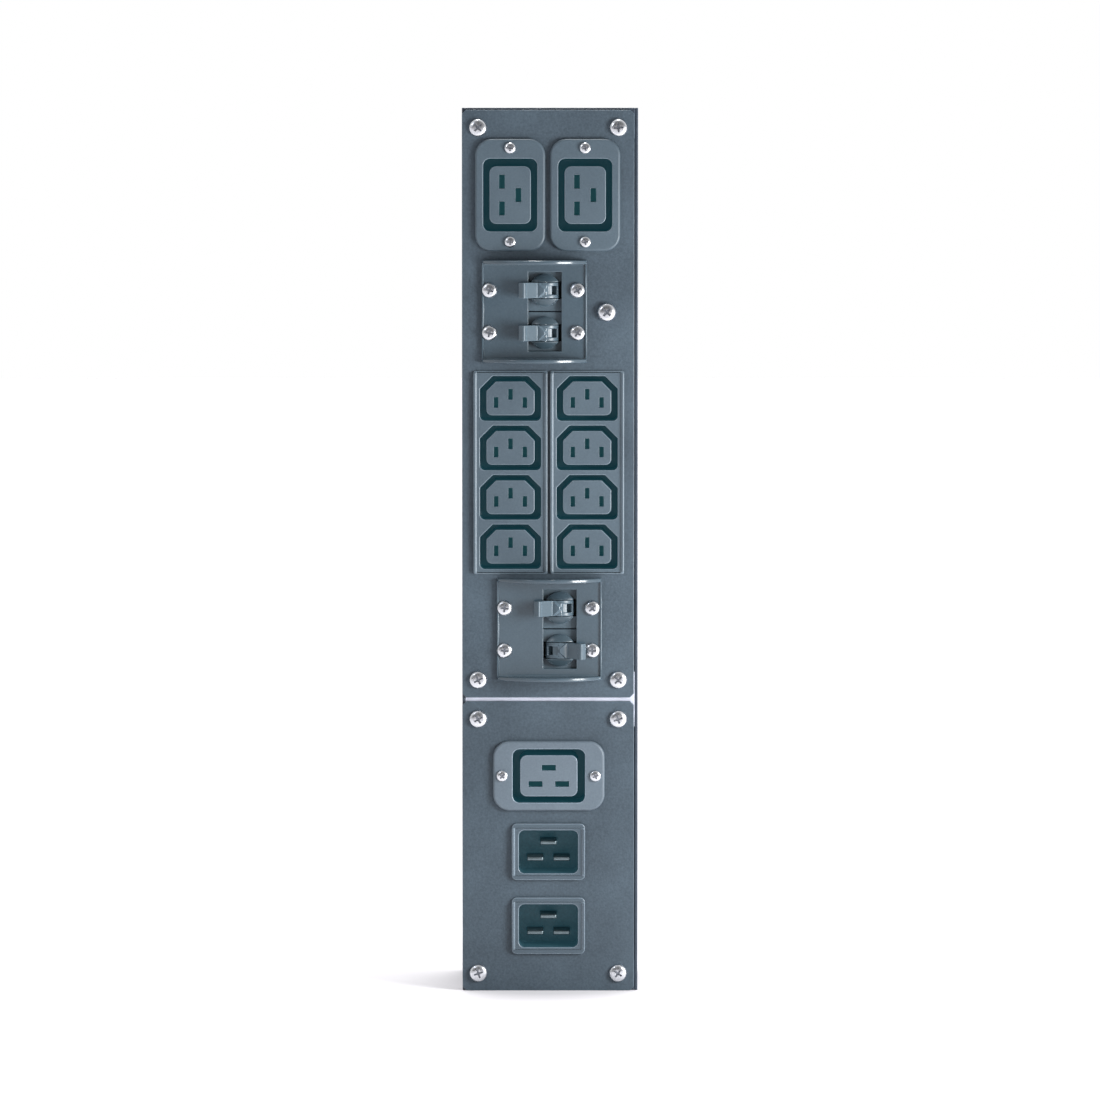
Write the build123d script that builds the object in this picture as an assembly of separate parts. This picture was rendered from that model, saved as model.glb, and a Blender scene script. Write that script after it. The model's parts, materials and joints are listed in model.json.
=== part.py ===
"""Rack power distribution box: sheet steel chassis, outlets, inlets, toggle breakers and wiring.

Frame: millimetres. +X across the box, +Y from the connector face to the back, +Z along its length.
The origin is the middle of the back face. A "height" is measured up from the lower end, and a
"depth" is measured back from the front of the panels. Small pieces are drawn in a local frame
whose y is that depth, and then put in place by at().
"""
from build123d import *
import math
import os

# ---- Overall sizes ----
# The length is under "Rows along the front", because the rows of outlets and breakers fill it.
chassis_width = 85.8
chassis_depth = 80.0
sheet = 1.5
sheet_bend = 2.0
assembly_gap = 0.1          # between sheets that slide into each other

# ---- Front panels ----
panel_sheet = 1.5
panel_width = chassis_width - 1.8
panel_shift = -0.9          # the panels sit this far left of the chassis's middle
panel_top_gap = 1.0         # the upper panel stops short of the upper end
panel_corner = 2.0          # chamfer of the panels' corners
seam_height = 143.3         # middle of the gap between the panels
seam_gap = 1.8
cutout_gap = 0.2            # all round every body that passes through a panel

# ---- Panel screws and the clinch nuts behind them ----
panel_screw_side = 7.8      # from a panel's edge to a corner screw
panel_screw_end = 8.7       # from a panel's end to a corner screw
panel_head_d = 8.7
panel_head_h = 2.6
panel_shank_r = 1.95
shank_gap = 0.05            # between a screw and its thread
hole_gap = 0.3              # between a screw and a plain hole
clinch_nut_r = 4.0
clinch_nut_h = 3.0
recess_width = 1.1          # one bar of a cross recess
recess_depth = 1.5
recess_reach = 0.56         # a recess bar's length, as a share of the head
head_round = 0.6            # a pan head's edge radius, as a share of its height
thread_end = 1.0            # how far a screw comes out of its nut

# ---- End caps and cross bar ----
lip = 15.0                  # front lip of an end cap
cap_flange = 12.0           # side flanges of an end cap
cap_flange_inset = 8.0      # they stop short of the front and the back
bar_height = 27.0
bar_web = 10.0              # how far the bar's middle web and its side tabs run back
rivet_r = 1.6
rivet_head_r = 2.9
rivet_head_h = 1.1
rivet_inset = 20.0          # from the front and the back to an end cap's rivets
bar_rivet_rise = 7.0        # above and below the cross bar's middle
flange_middle = 0.6         # where rivets sit along a flange or a tab, as a share of its reach

# ---- Rack ear fastening in both ends ----
ear_spacing_x = 57.2
ear_spacing_y = 25.4
ear_depth = 32.0            # middle of the pattern, from the front of the panels
ear_thread_r = 2.0
ear_nut_r = 3.5
ear_nut_h = 4.0

# ---- C19 outlets ----
c19_pair_drop = 42.4        # from the upper end to the middle of the pair
c19_left_x = -19.4
c19_right_x = 17.1
c19_lower_x = -0.6
c19_lower_height = 105.9
c19_flange = (54.6, 34.2)
c19_flange_corner = 8.0
c19_flange_t = 2.6
c19_flange_round = 1.2
c19_cavity = (35.3, 26.2)
c19_cavity_corner = 3.4
c19_core = (28.1, 20.2)
c19_core_corner = 3.4
c19_core_drop = 0.6         # the core stops this far below the flange's front
c19_wall = 1.6
c19_depth = 25.0
c19_cavity_depth = 21.0
c19_slot = (6.8, 2.8)
blade_half_pitch = 6.5      # live and neutral, either side of the middle
blade_rise = 4.0            # earth above and live and neutral below the middle
c19_screw_pitch = 45.6
flange_head_d = 5.6
flange_head_h = 1.7
flange_shank_r = 1.45
flange_nut_af = 5.5
flange_nut_h = 2.4

# ---- Contacts and push-on tabs ----
leaf = 0.4
leaf_start = 6.0            # contact leaves begin this far below the flange's front
c19_web_inset = 2.0         # a C19 contact's web lies this far inside the housing's back
contact_side_gap = 0.2
tab_width = 6.3
tab_t = 0.8
tab_length = 8.0
sleeve_wall = 1.5
sleeve_stand_off = 1.5
sleeve_tail = 3.0
sleeve_slot_gap = 0.05

# ---- C13 strips ----
strip_x = (-19.3, 18.1)
socket_pitch = 24.15
socket_count = 4
strip_flange = (36.1, socket_count * socket_pitch + 2.7)
strip_flange_t = 1.2
strip_flange_corner = 1.0
strip_rail = 1.3            # raised rail along each long side
strip_rail_rise = 0.9
strip_body = (33.0, strip_flange[1] - 3.1)
strip_depth = 19.5
strip_ring_depth = 17.0
socket_cavity = (29.7, 21.7)
socket_cavity_chamfer = 6.2
socket_cavity_round = 2.4
socket_core = (23.6, 16.6)
socket_core_chamfer = 4.7
socket_core_round = 2.8
socket_slot = (2.2, 5.2)
socket_half_pitch = 7.0
socket_rise = 2.0
bus_t = 0.8
bus_width = 5.0
bus_leaf = 0.3
cover_depth = 9.5
cover_wall = 1.5

# ---- C20 inlets ----
inlet_x = -0.8
inlet_heights = (68.5, 32.1)
inlet_bezel = (35.9, 27.8)
inlet_bezel_corner = 2.5
inlet_bezel_t = 1.8
inlet_rail = 1.3
inlet_rail_rise = 0.8
inlet_cavity = (28.9, 21.1)
inlet_cavity_corner = 2.8
inlet_wall = 1.6
inlet_cavity_depth = 20.5
inlet_back = 3.0
inlet_pin = (8.0, 2.0)
inlet_pin_drop = 5.0        # the pins stop this far below the bezel's front
inlet_pin_chamfer = 0.4

# ---- Circuit breakers ----
upper_handle_x = -2.5
lower_handle_x = 4.8
breaker_pitch = 20.8
breaker_gap = 0.4
breaker_length = 60.0
breaker_depth = 46.0
breaker_wall = 1.8
handle_offset = 5.6         # the handle sits this far right of the breaker's middle
boss_r = 7.85
boss_rise = 4.2             # the boss's dome stands this far in front of the panel
boss_dome_r = 13.0
pivot_depth = 2.5
front_block = 13.0          # solid front of the case that carries the pin and the screws
chamber_depth = 12.0
chamber_half = 8.6
pin_r = 1.25
pin_clearance = 0.05
pin_seat_gap = 0.02
pin_bite = 3.0              # length of pin in each cheek
coil_r = 7.0
coil_core_r = 3.0
coil_length = 22.0
coil_core_length = 30.0
coil_depth = 31.0
arm_width = 8.0
arm_t = 1.6
arm_gap = 4.0               # in front of the coil
arm_span = (20.0, 18.0)     # left and right of the breaker's middle
arm_return = 8.0
button_r = 3.0
button_t = 1.2
button_x = 14.0
tab_root = 6.0              # a breaker's tab begins this far inside its back
terminal_half_pitch = 21.0
link_t = 0.8
link_half_width = 3.5
link_margin = 1.5

# ---- Toggle levers ----
lever_width = 7.6
lever_side_gap = 0.3
drum_r = 7.0
lever_reach = 17.4
lever_root_half = 2.4
lever_tip_half = 1.5
lever_bead = 2.5
lever_bead_rise = 0.35
lever_tip_round = 0.9
gusset_rise = 0.9
gusset_reach = 6.0
recess_half = 2.2
recess_rise = 0.8
recess_angle = 48.0         # the track begins this far round the drum, degrees from the paddle
pocket_half = 1.3
pocket_depth = 4.4
throw = 42.0                # tilt each side of straight out, degrees

# ---- Guards ----
guard_size = (51.2, 2 * breaker_pitch + 8.4)
guard_plate = 1.5
guard_shift = 0.5           # the guard's middle is this far right of its screws' middle
guard_wall = 2.0
guard_wall_rise = 13.5
guard_wall_round = 0.7
guard_edge_rise = 1.0
guard_rim = 0.9
guard_rim_rise = 0.8
guard_window = (16.2, 2 * breaker_pitch - 2.8)
guard_screw_pitch = 42.8
guard_head_d = 7.5
guard_head_gap = 0.15       # the rim is notched round a screw head
guard_head_h = 2.4
guard_shank_r = 1.75
guard_screw_length = 13.0

# ---- Rows along the front, from the upper end ----
upper_guard_gap = 4.4       # between the C19 pair and the upper guard
strip_gap = 3.85            # between the upper guard and the strips
lower_guard_gap = 1.95      # between the strips and the lower guard
other_rows = 178.1          # the length that the pair, the guards and the strips leave
chassis_length = c19_flange[0] + 2 * guard_size[1] + strip_flange[1] + other_rows
# A drop is measured from the upper end to the middle of the row.
upper_breaker_drop = c19_pair_drop + c19_flange[0] / 2 + upper_guard_gap + guard_size[1] / 2
strip_drop = upper_breaker_drop + guard_size[1] / 2 + strip_gap + strip_flange[1] / 2
lower_breaker_drop = strip_drop + strip_flange[1] / 2 + lower_guard_gap + guard_size[1] / 2
upper_breakers = (upper_handle_x, upper_breaker_drop)
lower_breakers = (lower_handle_x, lower_breaker_drop)

# ---- Earth screw ----
earth_x = 27.6
earth_drop = 99.4
earth_head_d = 9.1
earth_head_h = 3.0
earth_shank_r = 2.45
earth_length = 16.0
earth_washer_t = 0.8
earth_washer_inset = 0.1    # the washer is this much smaller than the head, all round
earth_nut_af = 8.0
earth_nut_h = 4.0
earth_lug_t = 1.0
earth_lug_size = (9.0, 20.0)
lug_row = 6.5               # leads meet the lug this far above and below its middle
lug_half_pitch = 2.3        # and the two lower ones this far either side

# ---- Wiring ----
wire_r = 1.6
wire_bend = 5.0
line_lane = 64.5            # depths at which the three kinds of lead run
neutral_lane = 69.0
earth_lane = 73.5
wire_step = 1.9             # two leads on one connector, above and below its middle
side_lane = 34.5            # leads that pass the breakers' sides
side_rise = 40.0            # they leave their inlet's column this far above it
side_over = 4.0             # the neutral one turns in this far above its outlet's tab
lower_turn = 19.1           # the breakers' feed turns this far above the lower outlet's middle
strip_foot_gap = 0.25       # leads from below turn in this far above the strips' foot
strip_turn = 19.4           # and reach their bus this far below the strips' middle
load_turn = 29.4            # the right strip's line lead does so here
load_rise = 50.0            # the left strip's line lead turns this far above its breaker
outlet_turn = 18.0          # leads from below turn this far below the upper outlets' tabs
strip_bridge = 18.0         # leads from strip to strip pass this far above their tabs
outlet_bridge = 12.0        # leads from outlet to outlet pass this far above their tabs
earth_start = 14.0          # the strips' earth leads turn out this far above their tabs
earth_turns = (58.0, 34.0)  # and the left and the right one turn up this far above them
insulation_t = 0.5
insulation_gap = 4.0

# ---- Worked out ----
front_y = -chassis_depth
half_length = chassis_length / 2
inner_half = chassis_width / 2 - sheet
c19_pair_height = chassis_length - c19_pair_drop
strip_height = chassis_length - strip_drop
earth_height = chassis_length - earth_drop
slot_half = lever_width / 2 + lever_side_gap
case_half = (breaker_pitch - breaker_gap) / 2
case_back = panel_sheet + breaker_depth
sleeve_length = tab_length - sleeve_stand_off + sleeve_tail


def at(x, height, depth=0.0):
    """The place of a point given by its x, its height and its depth."""
    return Pos(x, front_y + depth, height - half_length)


def block(x0, x1, y0, y1, z0, z1):
    """A box given by its two ends along each axis."""
    return Pos((x0 + x1) / 2, (y0 + y1) / 2, (z0 + z1) / 2) * Box(x1 - x0, y1 - y0, z1 - z0)


def prism(sketch, y0, y1):
    """A sketch seen from the front, made solid from depth y0 to depth y1."""
    return Pos(0, y1, 0) * extrude(Plane.XZ * sketch, y1 - y0)


def rod(radius, y0, y1, x=0.0, z=0.0):
    """A round bar along Y."""
    return Pos(x, 0, z) * prism(Circle(radius), y0, y1)


def save(node, *solids):
    """Write one node; several solids stay separate inside it."""
    shape = solids[0] if len(solids) == 1 else Compound(children=list(solids))
    export_step(shape, os.path.join("parts", node + ".step"))


def round_front(solid, radius):
    """Round the edges of the face that looks to the front."""
    return fillet(solid.faces().sort_by(Axis.Y)[0].outer_wire().edges(), radius)


# ---- Fasteners ----
def pan_screw(head_d, head_h, shank_r, length):
    """Pan head with a cross recess, its underside at y = 0 and its shank running back."""
    head = rod(head_d / 2, -head_h, 0)
    head = round_front(head, head_h * head_round)
    bar = head_d * recess_reach
    recess = block(-bar / 2, bar / 2, -head_h, recess_depth - head_h, -recess_width / 2, recess_width / 2)
    screw = head - recess - Rot(0, 90, 0) * recess
    return screw + rod(shank_r, 0, length)


def hex_nut(across_flats, height, bore_r, y0):
    """A hexagon nut whose front is at y0."""
    shape = RegularPolygon(across_flats / 2, 6, major_radius=False) - Circle(bore_r)
    return prism(shape, y0, y0 + height)


def ring(outer_r, inner_r, y0, y1):
    return prism(Circle(outer_r) - Circle(inner_r), y0, y1)


# ---- Sockets and inlets, drawn with the earth contact on top ----
def blade_places():
    """Live, neutral and earth places of the 16 A pattern."""
    return [(-blade_half_pitch, -blade_rise), (blade_half_pitch, -blade_rise), (0, blade_rise)]


def c19_housing():
    front = -c19_flange_t
    flange = round_front(prism(RectangleRounded(*c19_flange, c19_flange_corner), front, 0), c19_flange_round)
    body = prism(Rectangle(*c19_body()), 0, c19_depth)
    cavity = prism(RectangleRounded(*c19_cavity, c19_cavity_corner), front, front + c19_cavity_depth)
    core = prism(RectangleRounded(*c19_core, c19_core_corner), front + c19_core_drop, c19_depth)
    housing = flange + body - cavity + core
    for x, z in blade_places():
        housing -= Pos(x, 0, z) * prism(Rectangle(*c19_slot), front, c19_depth)
    for x in (-c19_screw_pitch / 2, c19_screw_pitch / 2):
        housing -= rod(flange_shank_r + hole_gap, front, 0, x)
    return housing


def c19_body():
    return (c19_cavity[0] + 2 * c19_wall, c19_cavity[1] + 2 * c19_wall)


def c19_contact():
    """Two sprung leaves against the slot's long walls, a web, and a push-on tab behind."""
    width = c19_slot[0] - 2 * contact_side_gap
    edge = c19_slot[1] / 2
    start = leaf_start - c19_flange_t
    web = c19_depth - c19_web_inset
    contact = block(-width / 2, width / 2, web, web + leaf, -edge, edge)
    for side in (-1, 1):
        low, high = sorted((side * edge, side * (edge - leaf)))
        contact += block(-width / 2, width / 2, start, web + leaf, low, high)
    tab_end = c19_depth + tab_length
    return contact + block(-tab_width / 2, tab_width / 2, web, tab_end, -tab_t / 2, tab_t / 2)


def inlet_housing():
    front = -inlet_bezel_t
    bezel = prism(RectangleRounded(*inlet_bezel, inlet_bezel_corner), front, 0)
    for side in (-1, 1):
        x = side * (inlet_bezel[0] - inlet_rail) / 2
        half = inlet_bezel[1] / 2 - inlet_bezel_corner
        rail = block(x - inlet_rail / 2, x + inlet_rail / 2, front - inlet_rail_rise, front, -half, half)
        bezel += rail
    body = prism(Rectangle(*inlet_body()), 0, inlet_cavity_depth + inlet_back + front)
    cavity = prism(RectangleRounded(*inlet_cavity, inlet_cavity_corner), front, front + inlet_cavity_depth)
    housing = bezel + body - cavity
    for x, z in blade_places():
        housing -= Pos(x, 0, z) * prism(Rectangle(*inlet_pin), front, inlet_back_y())
    return housing


def inlet_body():
    return (inlet_cavity[0] + 2 * inlet_wall, inlet_cavity[1] + 2 * inlet_wall)


def inlet_back_y():
    return inlet_cavity_depth + inlet_back - inlet_bezel_t


def inlet_pin_solid():
    tip = inlet_pin_drop - inlet_bezel_t
    pin = prism(Rectangle(*inlet_pin), tip, inlet_back_y())
    pin = chamfer(pin.faces().sort_by(Axis.Y)[0].edges(), inlet_pin_chamfer)
    back = inlet_back_y()
    return pin + block(-tab_width / 2, tab_width / 2, back, back + tab_length, -tab_t / 2, tab_t / 2)


def socket_outline(size, top_chamfer, bottom_round):
    """The C13 shape: two chamfered corners on the earth side, two rounded ones below."""
    half_w, half_h = size[0] / 2, size[1] / 2
    points = [(-half_w, -half_h), (half_w, -half_h), (half_w, half_h - top_chamfer),
              (half_w - top_chamfer, half_h), (top_chamfer - half_w, half_h), (-half_w, half_h - top_chamfer)]
    outline = Polygon(*points, align=None)
    return fillet(outline.vertices().sort_by(Axis.Y)[:2], bottom_round)


def socket_rows():
    """Heights of the sockets about the strip's middle."""
    return [(i - (socket_count - 1) / 2) * socket_pitch for i in range(socket_count)]


def socket_slots():
    """Live, earth and neutral slots of one C13 socket."""
    return {"line": (-socket_half_pitch, -socket_rise), "earth": (0, socket_rise),
            "neutral": (socket_half_pitch, -socket_rise)}


def strip_housing():
    front = -strip_flange_t
    housing = prism(RectangleRounded(*strip_flange, strip_flange_corner), front, 0)
    for side in (-1, 1):
        x = side * (strip_flange[0] - strip_rail) / 2
        half = strip_flange[1] / 2 - strip_flange_corner
        housing += block(x - strip_rail / 2, x + strip_rail / 2, front - strip_rail_rise, front, -half, half)
    housing += prism(Rectangle(*strip_body), 0, strip_depth)
    cavity = socket_outline(socket_cavity, socket_cavity_chamfer, socket_cavity_round)
    core = socket_outline(socket_core, socket_core_chamfer, socket_core_round)
    well = prism(cavity, front, front + strip_ring_depth) - prism(core, front, front + strip_ring_depth)
    for row in socket_rows():
        housing -= Pos(0, 0, row) * well
        for x, z in socket_slots().values():
            housing -= Pos(x, 0, row + z) * prism(Rectangle(*socket_slot), front, strip_depth)
    return housing


def strip_cover():
    """Tray behind the housing that closes in the bus bars."""
    width, height = strip_body
    back = strip_depth + cover_depth
    cover = block(-width / 2, width / 2, strip_depth, back, -height / 2, height / 2)
    cover -= block(-width / 2 + cover_wall, width / 2 - cover_wall, strip_depth, back - cover_wall,
                   -height / 2 + cover_wall, height / 2 - cover_wall)
    for x, _ in socket_slots().values():
        slot_x, slot_z = tab_t / 2 + sleeve_slot_gap, tab_width / 2 + sleeve_slot_gap
        cover -= block(x - slot_x, x + slot_x, back - cover_wall, back, -slot_z, slot_z)
    return cover


def strip_bus(kind):
    """A brass bar along the strip, a pair of leaves in each socket's slot, and one push-on tab."""
    x, z = socket_slots()[kind]
    rows = socket_rows()
    ends = (rows[0] + z - socket_slot[1] / 2, rows[-1] + z + socket_slot[1] / 2)
    bar_back = strip_depth + bus_t
    bus = block(x - bus_width / 2, x + bus_width / 2, strip_depth, bar_back, *ends)
    tab_end = strip_depth + cover_depth + tab_length
    bus += block(x - tab_t / 2, x + tab_t / 2, bar_back, tab_end, -tab_width / 2, tab_width / 2)
    half = socket_slot[1] / 2 - contact_side_gap
    for row in rows:
        for side in (-1, 1):
            low, high = sorted((side * socket_slot[0] / 2, side * (socket_slot[0] / 2 - bus_leaf)))
            bus += block(x + low, x + high, leaf_start - strip_flange_t, strip_depth,
                         row + z - half, row + z + half)
    return bus


# ---- Breakers: x = 0 is the handle, z = 0 the breaker's middle ----
def breaker_case():
    left, right = -handle_offset - breaker_length / 2, -handle_offset + breaker_length / 2
    front_end = panel_sheet + front_block
    case = block(left, right, panel_sheet, case_back, -case_half, case_half)
    case -= block(left + breaker_wall, right - breaker_wall, front_end, case_back - breaker_wall,
                  -case_half + breaker_wall, case_half - breaker_wall)
    dome_middle = boss_dome_r - boss_rise
    case += rod(boss_r, -boss_rise, panel_sheet) & Pos(0, dome_middle, 0) * Sphere(boss_dome_r)
    case -= block(-boss_r, boss_r, -boss_rise, panel_sheet, -slot_half, slot_half)
    chamber_back = panel_sheet + chamber_depth
    case -= block(-chamber_half, chamber_half, panel_sheet, chamber_back, -slot_half, slot_half)
    case -= Pos(0, pivot_depth, 0) * Cylinder(pin_r + pin_seat_gap, 2 * (slot_half + pin_bite))
    for side in (-1, 1):
        screw_x = breaker_middle_x() + side * guard_screw_pitch / 2
        case -= rod(guard_shank_r + shank_gap, panel_sheet, guard_screw_length, screw_x)
        x = breaker_middle_x() + side * terminal_half_pitch
        case -= block(x - tab_t / 2, x + tab_t / 2, case_back - breaker_wall, case_back,
                      -tab_width / 2, tab_width / 2)
    return case


def breaker_middle_x():
    return -handle_offset


def lever():
    """Toggle in its straight-out position, pivot at the origin, pointing to the front."""
    half = lever_width / 2
    drum = Cylinder(drum_r, lever_width)
    neck = lever_reach - lever_bead
    bead = lever_tip_half + lever_bead_rise
    outline = [(-lever_root_half, 0), (-lever_tip_half, -neck), (-bead, -neck - lever_bead_rise),
               (-bead, -lever_reach), (bead, -lever_reach), (bead, -neck - lever_bead_rise),
               (lever_tip_half, -neck), (lever_root_half, 0)]
    paddle = extrude(Pos(0, 0, -half) * Polygon(*outline, align=None), lever_width)
    tip = [e for e in paddle.edges().filter_by(Axis.Z) if e.center().Y < -lever_reach + 0.1]
    toggle = drum + fillet(tip, lever_tip_round)
    return toggle + lever_gussets() - lever_recesses()


def lever_gussets():
    """Two triangular fairings that run from the paddle's flanks down onto the drum."""
    half = lever_width / 2
    shell = Cylinder(drum_r + gusset_rise, lever_width)
    points = [(0, -half), (lever_root_half, -half), (gusset_reach, 0), (lever_root_half, half), (0, half)]
    wedge = prism(Polygon(*points, align=None), -drum_r - gusset_rise, 0)
    return (wedge + mirror(wedge, Plane.YZ)) & shell


def lever_recesses():
    """The pivot bore, a pocket in each side of the drum, and a shallow track that leads to it."""
    cut = Cylinder(pin_r + pin_clearance, lever_width)
    width = 2 * recess_half
    track = Cylinder(drum_r + 2 * gusset_rise, width) - Cylinder(drum_r - recess_rise, width)
    for side in (-1, 1):
        outer = drum_r + gusset_rise
        low, high = sorted((side * (drum_r - pocket_depth), side * outer))
        cut += block(low, high, -pocket_half, pocket_half, -recess_half, recess_half)
        low, high = sorted((side * drum_r * math.sin(math.radians(recess_angle)), side * outer))
        cut += track & block(low, high, -drum_r, 0, -recess_half, recess_half)
    return cut


def pivot_pin():
    return Pos(0, pivot_depth, 0) * Cylinder(pin_r, 2 * (slot_half + pin_bite))


def breaker_coil():
    """Winding on a core, lying across the case behind the handle."""
    x = breaker_middle_x()
    winding = Cylinder(coil_r, coil_length)
    core = Cylinder(coil_core_r, coil_core_length)
    return Pos(x, coil_depth, 0) * Rot(0, 90, 0) * (winding + core)


def contact_arm():
    """Bent copper arm with a contact button, in front of the coil."""
    x = breaker_middle_x()
    y = coil_depth - coil_r - arm_gap
    left, right = x - arm_span[0], x + arm_span[1]
    arm = block(left, right, y, y + arm_t, -arm_width / 2, arm_width / 2)
    arm += block(left, left + arm_t, y, y + arm_return, -arm_width / 2, arm_width / 2)
    return arm + rod(button_r, y - button_t, y, x + button_x)


def breaker_tabs():
    tabs = []
    for side in (-1, 1):
        x = breaker_middle_x() + side * terminal_half_pitch
        tabs.append(block(x - tab_t / 2, x + tab_t / 2, case_back - tab_root, case_back + tab_length,
                          -tab_width / 2, tab_width / 2))
    return tabs


def line_link():
    """Strip across the back of a pair of breakers that joins their line tabs."""
    x = breaker_middle_x() - terminal_half_pitch
    reach = breaker_pitch / 2 + tab_width / 2 + link_margin
    link = block(x - link_half_width, x + link_half_width, case_back, case_back + link_t, -reach, reach)
    for row in (-breaker_pitch / 2, breaker_pitch / 2):
        link -= block(x - tab_t / 2, x + tab_t / 2, case_back, case_back + link_t,
                      row - tab_width / 2, row + tab_width / 2)
    return link


def guard():
    """Plate with a window and two half-moon walls; x = 0 is the middle of its screws."""
    width, height = guard_size
    left, right = guard_shift - width / 2, guard_shift + width / 2
    front = -guard_plate
    plate = block(left, right, front, 0, -height / 2, height / 2)
    for side in (-1, 1):
        x0, x1 = sorted((guard_shift + side * width / 2, guard_shift + side * (width / 2 - guard_rim)))
        plate += block(x0, x1, front - guard_rim_rise, front, -height / 2, height / 2)
    top = front - guard_wall_rise
    edge = front - guard_edge_rise
    moon = Line((left, 0), (left, edge)) + ThreePointArc((left, edge), (guard_shift, top), (right, edge))
    moon += Line((right, edge), (right, 0)) + Line((right, 0), (left, 0))
    profile = make_face(moon)
    for z in (-height / 2, height / 2 - guard_wall):
        wall = extrude(Pos(0, 0, z) * profile, guard_wall)
        arcs = [e for e in wall.edges() if e.geom_type == GeomType.CIRCLE]
        plate += fillet(arcs, guard_wall_round)
    plate -= Pos(handle_offset, 0, 0) * prism(Rectangle(*guard_window), front, 0)
    for x, z in guard_screw_places():
        plate -= rod(guard_shank_r + hole_gap, front, 0, x, z)
        plate -= rod(guard_head_d / 2 + guard_head_gap, front - guard_rim_rise, front, x, z)
    return plate


def guard_screw_places():
    return [(x, z) for x in (-guard_screw_pitch / 2, guard_screw_pitch / 2)
            for z in (-breaker_pitch / 2, breaker_pitch / 2)]


# ---- Enclosure, in the box's own frame ----
def chassis_channel():
    half = chassis_width / 2
    wall_front = front_y + panel_sheet
    section = block(-half, half, wall_front, 0, -half_length, half_length)
    back_edges = [e for e in section.edges().filter_by(Axis.Z) if e.center().Y > -1]
    channel = fillet(back_edges, sheet_bend)
    channel -= block(-inner_half, inner_half, wall_front, -sheet, -half_length, half_length)
    for rivet in chassis_rivets():
        channel -= rivet
    return channel


def cap_body(sign):
    """Bent end plate: end wall, front lip and two riveted side flanges."""
    half = inner_half - assembly_gap
    y0, y1 = front_y + panel_sheet, -sheet
    end = sign * half_length

    def along(reach):
        return sorted((end, end - sign * reach))

    cap = block(-half, half, y0, y1, *along(sheet))
    cap += block(-half, half, y0, y0 + sheet, *along(lip))
    for side in (-1, 1):
        x0, x1 = sorted((side * half, side * (half - sheet)))
        cap += block(x0, x1, y0 + cap_flange_inset, y1 - cap_flange_inset, *along(cap_flange))
    for x, y in ear_places():
        cap -= Pos(x, y, end) * Cylinder(ear_nut_r, 2 * ear_nut_h)
    for screw_x, height in panel_screw_places():
        cap -= at(screw_x, height) * rod(panel_shank_r + hole_gap, 0, panel_sheet + sheet)
    for rivet in chassis_rivets():
        cap -= rivet
    return cap


def ear_places():
    middle = front_y + ear_depth
    return [(x, y) for x in (-ear_spacing_x / 2, ear_spacing_x / 2)
            for y in (middle - ear_spacing_y / 2, middle + ear_spacing_y / 2)]


def ear_nut(sign, x, y):
    """Press nut, flush with the outside of the end wall."""
    nut = Cylinder(ear_nut_r, ear_nut_h) - Cylinder(ear_thread_r, ear_nut_h)
    return Pos(x, y, sign * (half_length - ear_nut_h / 2)) * nut


def chassis_rivets():
    """Flush rivets through the side walls, into the end caps and the cross bar."""
    half = chassis_width / 2
    end = half_length - cap_flange * flange_middle
    spots = [(y, z) for y in (front_y + rivet_inset, -rivet_inset) for z in (-end, end)]
    bar_y, bar_z = front_y + panel_sheet + bar_web * flange_middle, seam_height - half_length
    spots += [(bar_y, bar_z + dz) for dz in (-bar_rivet_rise, bar_rivet_rise)]
    length = 2 * sheet + assembly_gap
    shank = Cylinder(rivet_r, length)
    head = Pos(0, 0, (length - rivet_head_h) / 2) * Cone(rivet_r, rivet_head_r, rivet_head_h)
    rivet = shank + head
    rivets = []
    for y, z in spots:
        for side in (-1, 1):
            rivets.append(Pos(side * (half - length / 2), y, z) * Rot(0, 90 * side, 0) * rivet)
    return rivets


def cross_bar():
    """Zinc plated T bar behind the seam, with a riveted tab at each side wall."""
    half = inner_half - assembly_gap
    y0 = front_y + panel_sheet
    z = seam_height - half_length
    low, high = z - bar_height / 2, z + bar_height / 2
    bar = block(-half, half, y0, y0 + sheet, low, high)
    bar += block(-half, half, y0, y0 + bar_web, z - sheet / 2, z + sheet / 2)
    for side in (-1, 1):
        x0, x1 = sorted((side * half, side * (half - sheet)))
        bar += block(x0, x1, y0, y0 + bar_web, low, high)
    for screw_x, height in panel_screw_places():
        bar -= at(screw_x, height) * rod(panel_shank_r + hole_gap, 0, panel_sheet + sheet)
    for rivet in chassis_rivets():
        bar -= rivet
    return bar


def panel_spans():
    """Lower and upper panel, each from one height to another."""
    return {"lower": (0.0, seam_height - seam_gap / 2),
            "upper": (seam_height + seam_gap / 2, chassis_length - panel_top_gap)}


def panel_screw_places(span=None):
    spans = panel_spans().values() if span is None else [panel_spans()[span]]
    side = panel_width / 2 - panel_screw_side
    return [(panel_shift + x, z) for low, high in spans for x in (-side, side)
            for z in (low + panel_screw_end, high - panel_screw_end)]


def panel_blank(span):
    low, high = panel_spans()[span]
    outline = Rectangle(panel_width, high - low)
    outline = chamfer(outline.vertices(), panel_corner)
    panel = at(panel_shift, (low + high) / 2) * prism(outline, 0, panel_sheet)
    for x, height in panel_screw_places(span):
        panel -= at(x, height) * rod(panel_shank_r + hole_gap, 0, panel_sheet)
    return panel


def window(size, gap=cutout_gap):
    return prism(Rectangle(size[0] + 2 * gap, size[1] + 2 * gap), 0, panel_sheet)


def c19_cut():
    """The cut-out of one C19 outlet, earth on top."""
    cut = window(c19_body())
    for x in (-c19_screw_pitch / 2, c19_screw_pitch / 2):
        cut += rod(flange_shank_r + hole_gap, 0, panel_sheet, x)
    return cut


def breaker_cut():
    cut = Pos(handle_offset, 0, 0) * window(guard_window, 0.0)
    for x, z in guard_screw_places():
        cut += rod(guard_shank_r + hole_gap, 0, panel_sheet, x, z)
    return cut


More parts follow.
